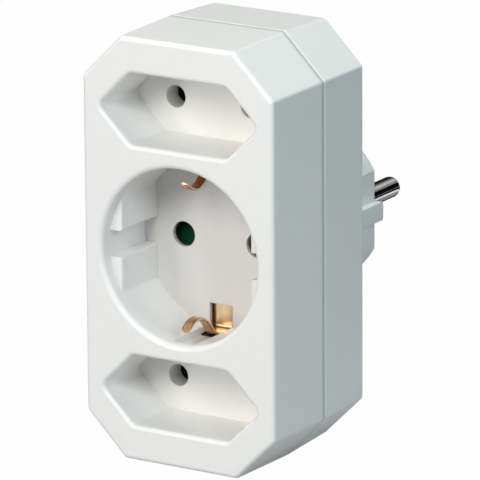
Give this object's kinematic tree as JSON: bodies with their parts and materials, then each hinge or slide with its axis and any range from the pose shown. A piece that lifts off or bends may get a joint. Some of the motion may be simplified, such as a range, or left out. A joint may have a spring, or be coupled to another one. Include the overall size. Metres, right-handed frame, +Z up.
{
  "type": "multi socket adapter",
  "caption": "Octagonal wall adapter with a recessed earthed socket between two flat two-pin sockets, pin holes closed by turning shutters, and a round earthed plug at the back.",
  "frame": {"origin": "middle of the plug's end face, between its two pins", "axes": "+Y out of the plug towards the wall, +Z up along the three sockets, front face towards -Y"},
  "size_m": [0.0492, 0.0756, 0.0962],
  "materials": {
    "housing": "satin gloss white",
    "plug_pins": "polished nickel plate",
    "contacts": "bright rolled",
    "earth_metal": "bright rolled",
    "inner_plastic": "moulded matt",
    "shutter_green": "moulded matt dark green",
    "spring_steel": "drawn wire",
    "screw_steel": "zinc plated"
  },
  "bodies": {
    "housing": {"front_shell": "housing", "rear_shell": "housing", "phase_pin": "plug_pins", "neutral_pin": "plug_pins", "phase_busbar": "contacts", "neutral_busbar": "contacts", "phase_contact_upper": "contacts", "phase_contact_middle": "contacts", "phase_contact_lower": "contacts", "neutral_contact_upper": "contacts", "neutral_contact_middle": "contacts", "neutral_contact_lower": "contacts", "phase_rivets": "contacts", "neutral_rivets": "contacts", "socket_earth_strap": "earth_metal", "plug_earth_strap": "earth_metal", "earth_rivets": "earth_metal", "shutter_cover_upper": "inner_plastic", "shutter_cover_middle": "inner_plastic", "shutter_cover_lower": "inner_plastic", "shutter_spring_upper": "spring_steel", "shutter_spring_middle": "spring_steel", "shutter_spring_lower": "spring_steel", "housing_screws": "screw_steel"},
    "shutter_upper": {"shutter_upper": "shutter_green"},
    "shutter_middle": {"shutter_middle": "shutter_green"},
    "shutter_lower": {"shutter_lower": "shutter_green"}
  },
  "joints": [
    {"name": "shutter_turn_upper", "type": "hinge", "parent": "housing", "child": "shutter_upper", "pos_m": [0, -0.035, 0.0317], "axis": [0, -1, 0], "range_deg": [0, 42], "stiffness_Nm_per_rad": 0.004, "springref_deg": -28.65, "deforming": ["shutter_spring_upper"]},
    {"name": "shutter_turn_middle", "type": "hinge", "parent": "housing", "child": "shutter_middle", "pos_m": [0, -0.035, 0], "axis": [0, -1, 0], "range_deg": [0, 42], "stiffness_Nm_per_rad": 0.004, "springref_deg": -28.65, "deforming": ["shutter_spring_middle"]},
    {"name": "shutter_turn_lower", "type": "hinge", "parent": "housing", "child": "shutter_lower", "pos_m": [0, -0.035, -0.0317], "axis": [0, -1, 0], "range_deg": [0, 42], "stiffness_Nm_per_rad": 0.004, "springref_deg": -28.65, "deforming": ["shutter_spring_lower"]}
  ]
}
